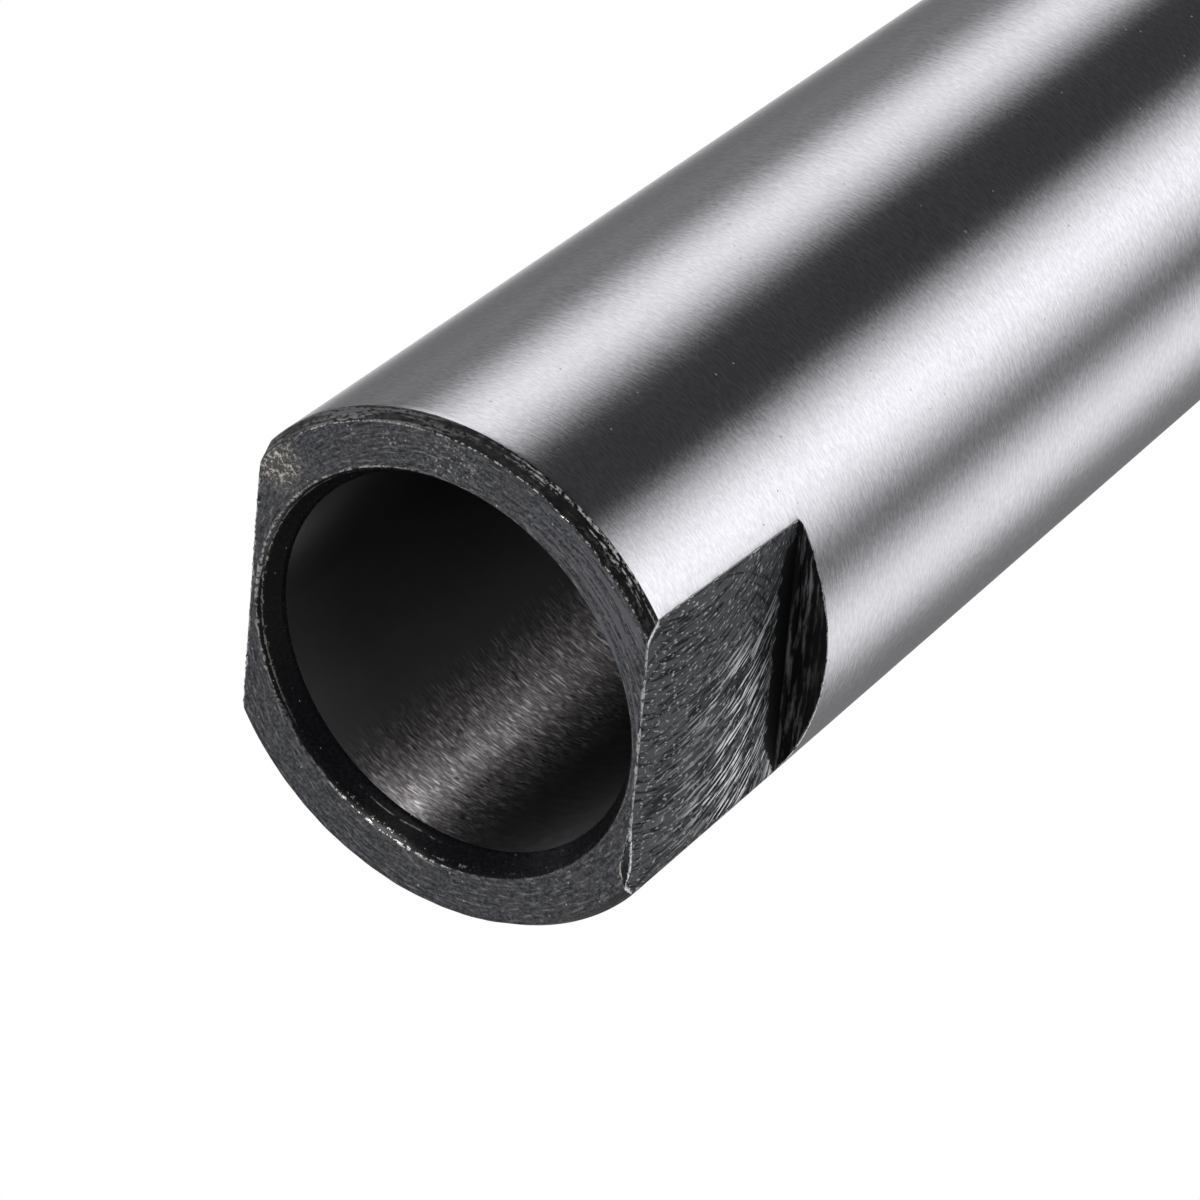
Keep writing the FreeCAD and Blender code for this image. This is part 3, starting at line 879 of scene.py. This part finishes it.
def turned_rim(nodes):
    """The rim chamfer: black scale, dotted with turned lines in its outer half, painted as a shine
    that is brightest towards azimuth 303, and paler towards azimuth 232.
    """
    arc = nodes.times(nodes.turn, FACE_RADIUS)
    wobble = nodes.noise(place=nodes.join(nodes.times(arc, 0.3), 0.0, 7.0))
    line = nodes.times(nodes.sum(nodes.z, nodes.times(wobble, 0.25)), 1 / 0.17)
    lines = nodes.noise(place=nodes.join(line, nodes.times(arc, 1 / 4.0), 0.0), detail=1.0)
    dots = nodes.noise(place=nodes.join(line, nodes.times(arc, 1 / 0.5), 4.0), roughness=0.7)
    outer_half = nodes.ramp(nodes.z, 0.34, 0.55, 0.1, 1.0)
    shine = nodes.times(nodes.ramp(lines, 0.44, 0.58), nodes.ramp(dots, 0.44, 0.6), outer_half)
    # Paler towards azimuth 232, over the dots and lines.
    brighter_part = nodes.times(facing(nodes, 232, 0.7, 0.97, 0.0, 0.95), nodes.ramp(dots, 0.36, 0.6),
                         nodes.ramp(lines, 0.42, 0.58, 0.15, 1.0))
    edges = bare_glint_rim_edges(nodes)
    line_colour = nodes.mix(facing(nodes, 303, 0.9, 0.98), RIM_LINE, RIM_LINE_LIT)
    base = nodes.paint(nodes.mix(nodes.ramp(dots, 0.35, 0.65), RIM_BLACK, RIM_DARK),
                       (brighter_part, RIM_PALER_SIDE), (shine, line_colour), (edges, RIM_BARE_GLINT))
    return nodes.finish(base=base, metal=nodes.blend(edges, 0.2, 0.95), rough=0.34,
                        normal=nodes.relief((lines, 0.01)))


# The mouth: how far in a scratch runs round it, the colours of its scale and edge highlights.
SCRATCH_DEPTH = 1.05
MOUTH_BLACK = (0.0052, 0.0056, 0.007)
MOUTH_DARK = (0.0105, 0.011, 0.0128)
MOUTH_BARE_GLINT = (0.66, 0.62, 0.6)


def mouth_edges(nodes):
    """Bright lines along the mouth's broken edge, one outside, two inside: bare steel painted as
    the edge's highlights, brighter by side.
    """
    first = bare_glint_line(nodes, nodes.z, 0.09, 3.0, 0.45)
    second = bare_glint_line(nodes, nodes.less(nodes.z, MOUTH_BREAK + 0.08), 0.1, 8.0, 0.56)
    third = bare_glint_line(nodes, nodes.less(nodes.z, MOUTH_BREAK + 0.05), 0.045, 11.0, 0.42)
    return nodes.most(nodes.times(nodes.most(first, second), mouth_lip_highlight(nodes)),
                      nodes.times(third, facing(nodes, 205, 0.35, 0.75, 0.0, 0.6)))


def mouth_scratch(nodes):
    """A fine scratch round the lead-in cone, on its +Y side."""
    drift = nodes.times(nodes.less(nodes.noise(0.25, 1.0), 0.5), 0.5)
    away = nodes.unsigned(nodes.less(nodes.sum(nodes.z, drift), SCRATCH_DEPTH))
    return nodes.times(nodes.ramp(away, 0.05, 0.02), facing(nodes, 103, 0.965, 0.99, 0.0, 0.5),
                       nodes.ramp(nodes.noise(2.5), 0.4, 0.6))


def turned_mouth(nodes):
    """The lead-in cone and drilled bore: glossy black scale, bare along the mouth's edges, where
    the bright lines are painted highlights.
    """
    grain = nodes.noise(5.0)
    dots = specks(nodes, 2.2, 0.14, 0.1)
    bare_and_glint = nodes.most(dots, mouth_edges(nodes), mouth_scratch(nodes))
    base = nodes.paint(nodes.mix(nodes.ramp(grain, 0.4, 0.7), MOUTH_BLACK, MOUTH_DARK),
                       (bare_and_glint, MOUTH_BARE_GLINT))
    return nodes.finish(base=base, metal=nodes.blend(bare_and_glint, 0.0, 0.9),
                        rough=nodes.sum(0.22, nodes.times(grain, 0.12)), level=0.3,
                        normal=nodes.relief((turning_rings(nodes, 0.16), 0.006), (dots, 0.03)))


# The face mill: its radius, how high its middle ran, where the painted wall reflection starts.
MILL_RADIUS = 10.0
MILL_HEIGHT = 4.6
WALL_REFLECTION_START = 13.45

# Colours of the flats: scale, black marks, painted wall reflection, bare glints, the shoulder's
# wall.
FLAT_SCALE = (0.042, 0.048, 0.056)
FLAT_BLACK = (0.003, 0.0035, 0.004)
WALL_REFLECTION_BLACK = (0.004, 0.0045, 0.005)
FLAT_BARE_GLINT = (0.8, 0.8, 0.84)
WALL_BLACK = (0.005, 0.0055, 0.0065)
WALL_PALE = (0.22, 0.22, 0.23)
WALL_EDGE_HIGHLIGHT = (0.55, 0.55, 0.56)


class MillPaths:
    """Where a point of a flat lies on the face mill's arcs."""

    def __init__(self, nodes):
        self.nodes = nodes
        self.along = nodes.times(nodes.y, nodes.math("SIGN", nodes.x))
        up = nodes.less(nodes.z, MILL_HEIGHT)
        inside = nodes.less(MILL_RADIUS ** 2, nodes.times(up, up))
        reach = nodes.math("SQRT", nodes.most(inside, 0.01))
        sway = nodes.times(nodes.noise(0.5), 0.35)
        self.trail = nodes.sum(nodes.less(self.along, reach), sway)
        self.lead = nodes.sum(self.along, reach)
        self.swing = nodes.times(nodes.math("ARCTAN2", up, reach), MILL_RADIUS)

    def noise(self, path, across, along, seed, detail=0.0):
        """Noise along the arcs of one path, with marks so wide across and so long."""
        nodes = self.nodes
        place = nodes.join(nodes.times(path, 1 / across), nodes.times(self.swing, 1 / along), seed)
        return nodes.noise(1.0, detail, 0.6, place)


def wall_reflection_band(nodes):
    """The band beside the shoulder, painted black as the wall's reflection, narrow at its two
    tips.
    """
    tip = nodes.ramp(nodes.unsigned(nodes.y), 6.0, 8.9, 0.0, 1.4)
    ragged = nodes.less(nodes.noise(1.2), 0.5)
    height = nodes.sum(nodes.less(nodes.z, tip), ragged)
    return nodes.ramp(height, WALL_REFLECTION_START - 0.1, WALL_REFLECTION_START + 0.1)


def flat_glint_share(nodes, paths):
    """How many of a flat's mill marks are painted as bright glints: more towards its shoulder and
    to one side, in groups.
    """
    groups = nodes.ramp(paths.noise(paths.trail, 1.1, 7.0, 9.0, 2.0), 0.34, 0.6, 0.2, 1.0)
    toward_foot = nodes.ramp(nodes.z, 1.5, 12.5)
    open_side = nodes.ramp(nodes.sum(paths.along, nodes.times(nodes.z, 0.35)), -1.8, 3.4)
    return nodes.times(nodes.sum(0.04, nodes.times(toward_foot, open_side, 1.25)), groups)


def bare_glint_flat_edges(nodes):
    """Bright lines along a flat's end edge, and down its corners with the rim chamfer: bare steel
    painted as the edges' highlights.
    """
    end = bare_glint_line(nodes, nodes.less(nodes.z, bevel_edge(nodes)), 0.12, 0.0, 0.4)
    rim = nodes.sum(FACE_RADIUS - RIM_HEIGHT * (SHANK_SLOPE + math.tan(RIM_ANGLE)),
                    nodes.times(nodes.z, math.tan(RIM_ANGLE)))
    corner = bare_glint_line(nodes, nodes.less(rim, nodes.radius), 0.22, 6.0, 0.3)
    return nodes.most(end, nodes.times(corner, nodes.ramp(nodes.z, 1.1, 0.8)))


def shoulder_wall(nodes):
    """How far a point is past the flat, in its foot or the wall; the wall's colour, marks."""
    out = nodes.unsigned(nodes.x)
    foot = nodes.ramp(out, SPANNER_HALF + 0.01, SPANNER_HALF + 0.08)
    place = nodes.join(nodes.times(nodes.x, 1 / 0.3), nodes.times(nodes.y, 0.35),
                       nodes.times(nodes.z, 1 / 0.2))
    marks = nodes.noise(1.0, 3.0, 0.65, place)
    inner = nodes.ramp(out, SPANNER_HALF + 1.9, SPANNER_HALF + 0.9, 0.2, 1.0)
    light = nodes.times(nodes.ramp(marks, 0.47, 0.68), inner)
    return foot, nodes.mix(light, WALL_BLACK, WALL_PALE), marks


def wall_edge_highlight(nodes):
    """The bright line along the top of the shoulder's wall, bare steel painted as its highlight.
    """
    away = nodes.less(FACE_RADIUS - SPANNER_LENGTH * SHANK_SLOPE, nodes.radius)
    on_wall = nodes.math("GREATER_THAN", nodes.z, SPANNER_LENGTH - 0.02)
    return nodes.times(bare_glint_line(nodes, away, 0.1, 9.0, 0.4), on_wall)


def milled_flat(nodes):
    """Face-milled spanner flats: bright lines on the mill's arcs, bare steel painted as glints, in
    dark scale, with a band painted black as the wall's reflection.
    """
    paths = MillPaths(nodes)
    lines = paths.noise(paths.trail, 0.24, 3.6, 0.0)
    dashes = paths.noise(paths.trail, 0.28, 1.2, 5.0)
    flecks = paths.noise(paths.trail, 0.2, 0.5, 8.0, 1.0)
    gaps = paths.noise(paths.trail, 0.3, 1.6, 12.0, 2.0)
    arcs = paths.noise(paths.lead, 0.45, 5.0, 3.0, 2.0)
    brighter_part = flat_glint_share(nodes, paths)
    # A band painted black where the flat mirrors the dark shoulder wall: a painted reflection.
    wall_reflection = wall_reflection_band(nodes)
    # The bright strokes and flecks are painted glints on the mill's arcs.
    strokes = nodes.times(nodes.ramp(lines, 0.5, 0.57), nodes.ramp(dashes, 0.42, 0.54), brighter_part)
    marks = nodes.most(strokes, nodes.ramp(flecks, 0.6, 0.69, 0.0, 0.5))
    bright = nodes.most(nodes.times(marks, nodes.less(1.0, wall_reflection)), bare_glint_flat_edges(nodes))
    broken = nodes.most(nodes.ramp(gaps, 0.42, 0.58), nodes.times(brighter_part, 1.2))
    hollows = nodes.times(nodes.ramp(lines, 0.49, 0.42), nodes.math("MINIMUM", broken, 1.0))
    black = nodes.most(hollows, nodes.ramp(arcs, 0.44, 0.36, 0.0, 0.85))
    foot, wall, wall_marks = shoulder_wall(nodes)
    base = nodes.paint(nodes.mix(black, FLAT_SCALE, FLAT_BLACK), (wall_reflection, WALL_REFLECTION_BLACK),
                       (bright, FLAT_BARE_GLINT), (foot, wall), (wall_edge_highlight(nodes), WALL_EDGE_HIGHLIGHT))
    normal = nodes.relief((lines, 0.016), (dashes, 0.014), (arcs, 0.012),
                          (nodes.times(wall_marks, foot), 0.05))
    metal = nodes.times(nodes.blend(bright, 0.1, 0.95), nodes.less(1.0, nodes.times(foot, 0.9)))
    polish = nodes.sum(0.26, nodes.times(dashes, 0.2))
    rough = nodes.blend(nodes.most(black, wall_reflection, foot), polish, 0.62)
    return nodes.finish(base=base, metal=metal, rough=rough, normal=normal, level=0.14)


# Colours of the slot's and the tang's scale, and of edges that are knocked bare.
TANG_DARK = (0.034, 0.037, 0.039)
TANG_PALE = (0.06, 0.063, 0.065)
EDGE_SCALE = (0.04, 0.042, 0.044)
EDGE_BARE = (0.86, 0.86, 0.86)


def milled_tang(nodes):
    """Slot and tang: side-milled, with straight marks, under dark scale."""
    place = nodes.cells((nodes.x, 4.0), (nodes.y, 4.0), (nodes.z, 0.22))
    marks = nodes.noise(1.0, 3.0, 0.6, place)
    grain = nodes.noise(6.0, 3.0, 0.6)
    return nodes.finish(base=nodes.mix(nodes.ramp(marks, 0.35, 0.7), TANG_DARK, TANG_PALE),
                        metal=0.4, rough=nodes.sum(0.34, nodes.times(grain, 0.2)),
                        normal=nodes.relief((marks, 0.025), (grain, 0.008)))


def bare_edge(nodes):
    """Edges where the scale is knocked off here and there down to bright steel."""
    breaks = nodes.noise(2.2, 4.0, 0.7)
    bright = nodes.ramp(breaks, 0.38, 0.5)
    return nodes.finish(base=nodes.mix(bright, EDGE_SCALE, EDGE_BARE),
                        metal=nodes.blend(bright, 0.2, 0.9), rough=0.42,
                        normal=nodes.relief((breaks, 0.04)))


MAKERS = {"ground_taper": ground_taper, "ground_bore": ground_bore, "turned_face": turned_face,
          "turned_rim": turned_rim, "turned_mouth": turned_mouth, "milled_flat": milled_flat,
          "milled_tang": milled_tang, "bare_edge": bare_edge}
FINISHES = list(MAKERS)

# Edges with a sharper turn than this stay crisp.
CRISP_TURN = math.radians(32)


def make_sleeve():
    """The finished sleeve, in place of the plain solid."""
    materials = [maker(Nodes(name)) for name, maker in MAKERS.items()]
    sleeve = new_object("sleeve_finish", sleeve_mesh())
    for material in materials:
        sleeve.data.materials.append(material)
    mill_slot(sleeve, materials)
    mesh = sleeve.data
    mesh.polygons.foreach_set("use_smooth", [True] * len(mesh.polygons))
    mesh.set_sharp_from_angle(angle=CRISP_TURN)
    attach(sleeve, "root")
    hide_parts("sleeve")


# The camera, as the photograph was taken: place in metres, and the frame's own directions.
CAMERA_PLACE = (0.2562, -0.3411, -0.3985)
CAMERA_BACK = (0.42931, -0.57743, -0.69445)
CAMERA_UP = (-0.38094, -0.81294, 0.44046)
CAMERA_LENS = 314.4


def make_camera():
    """The camera looks up at the mouth from below, along the shank."""
    back = Vector(CAMERA_BACK).normalized()
    right = Vector(CAMERA_UP).cross(back).normalized()
    turn = Matrix((right, back.cross(right), back)).transposed().to_4x4()
    camera = new_object("camera", bpy.data.cameras.new("camera"))
    camera.matrix_world = Matrix.Translation(CAMERA_PLACE) @ turn
    camera.data.lens = CAMERA_LENS
    camera.data.sensor_width = 36.0
    camera.data.clip_start = 0.01
    camera.data.clip_end = 20.0
    bpy.context.scene.camera = camera


# Softboxes round the sleeve: name, azimuth and elevation of the middle, how far down it is
# turned, width and height in metres, and brightness in the middle.
LAMPS = (
    ("key", -29, 42, 0, 0.7, 0.78, 1.22),
    ("left", -129, 42, 0, 0.54, 0.78, 1.00),
    ("right", 44, 42, 0, 0.56, 0.78, 0.84),
    ("streak_side", -172, 42, 0, 0.16, 0.78, 0.12),
    ("back", 134, 42, 0, 0.38, 0.78, 0.95),
    ("low", -99, -50, -50, 0.12, 0.5, 12.0),
    ("fill", 62, -18, -18, 0.4, 0.18, 1.4),
)
LAMP_DISTANCE = 0.6
LAMP_AIM = Vector((0, 0, 0.04))

# Azimuths of the studio's dark side and of the side that the camera looks towards.
DARK_SIDE = -83
FAR_SIDE = 127


def soften(light):
    """The lamp is brightest along its middle and fades to its two sides."""
    nodes = Tree(light)
    across = nodes.split(nodes.add("ShaderNodeNewGeometry").outputs["Parametric"])[0]
    away = nodes.unsigned(nodes.less(across, 0.5))
    nodes.feed(nodes.tree.nodes["Emission"].inputs["Strength"], nodes.ramp(away, 0.5, 0.0))


def bearing(azimuth, elevation):
    """A direction from the sleeve, from its two angles in degrees."""
    side = math.radians(azimuth)
    rise = math.radians(elevation)
    return Vector((math.cos(side) * math.cos(rise), math.sin(side) * math.cos(rise),
                   math.sin(rise)))


def make_lamp(name, azimuth, elevation, turned_down, width, height, brightness):
    """One softbox, which the camera doesn't see."""
    light = bpy.data.lights.new(name, "AREA")
    light.shape = "RECTANGLE"
    light.size = width
    light.size_y = height
    light.energy = 4 * brightness * width * height
    soften(light)
    lamp = new_object(name, light)
    lamp.location = LAMP_AIM + bearing(azimuth, elevation) * LAMP_DISTANCE
    lamp.rotation_mode = "QUATERNION"
    lamp.rotation_quaternion = bearing(azimuth, turned_down).to_track_quat("Z", "Y")
    lamp.visible_camera = False


def make_world():
    """A studio that is white behind the sleeve, dim all round and paler below its far side."""
    world = bpy.data.worlds.new("studio")
    bpy.context.scene.world = world
    nodes = Tree(world)
    place = nodes.add("ShaderNodeTexCoord").outputs["Generated"]

    def toward(azimuth, elevation, *levels):
        share = nodes.vector("DOT_PRODUCT", place, bearing(azimuth, elevation))["Value"]
        return nodes.ramp(share, *levels, kind="LINEAR")

    side = toward(DARK_SIDE, 0, -0.2, 0.7, 0.2, 0.03)
    below = toward(0, -90, 0.15, 0.8, 0.0, 0.55)
    glow = nodes.times(below, toward(FAR_SIDE, 0, 0.0, 0.55, 0.08, 1.0))
    camera_ray = nodes.add("ShaderNodeLightPath").outputs["Is Camera Ray"]
    strength = nodes.blend(camera_ray, nodes.sum(side, glow), 1.0)
    nodes.wire(nodes.tree.nodes["Background"], (1, 1, 1, 1), strength)


# The floor: half its width in metres, its gap under the sleeve, its grey and its glow.
FLOOR_HALF = 3.0
FLOOR_GAP = 0.02
FLOOR_GREY = 0.82
FLOOR_GLOW = 0.55


def floor_paper():
    """Paper that camera rays see from above, a little glowing, and clear to all other rays."""
    material = bpy.data.materials.new("floor_paper")
    nodes = Tree(material)
    shader = nodes.tree.nodes["Principled BSDF"]
    shader.inputs["Base Color"].default_value = (FLOOR_GREY, FLOOR_GREY, FLOOR_GREY, 1)
    shader.inputs["Roughness"].default_value = 0.9
    shader.inputs["Specular IOR Level"].default_value = 0.1
    glow = nodes.add("ShaderNodeEmission").outputs[0]
    paper = nodes.layer(FLOOR_GLOW, shader.outputs[0], glow)
    clear = nodes.add("ShaderNodeBsdfTransparent").outputs[0]
    above = nodes.math("SUBTRACT", nodes.add("ShaderNodeLightPath").outputs["Is Camera Ray"],
                       nodes.add("ShaderNodeNewGeometry").outputs["Backfacing"], clamp=True)
    surface = nodes.tree.nodes["Material Output"].inputs["Surface"]
    nodes.feed(surface, nodes.layer(above, clear, paper))
    return material


def make_floor():
    """A pale floor under the sleeve, seen from above only. Light passes up through it."""
    mesh = bpy.data.meshes.new("floor")
    corners = (-1, -1), (1, -1), (1, 1), (-1, 1)
    mesh.from_pydata([(FLOOR_HALF * x, FLOOR_HALF * y, 0) for x, y in corners], [], [range(4)])
    mesh.materials.append(floor_paper())
    floor = new_object("floor", mesh)
    floor.location.z = -FLOOR_GAP * MM


make_sleeve()
make_camera()
for lamp in LAMPS:
    make_lamp(*lamp)
make_world()
make_floor()
bpy.context.scene.view_settings.view_transform = "Standard"
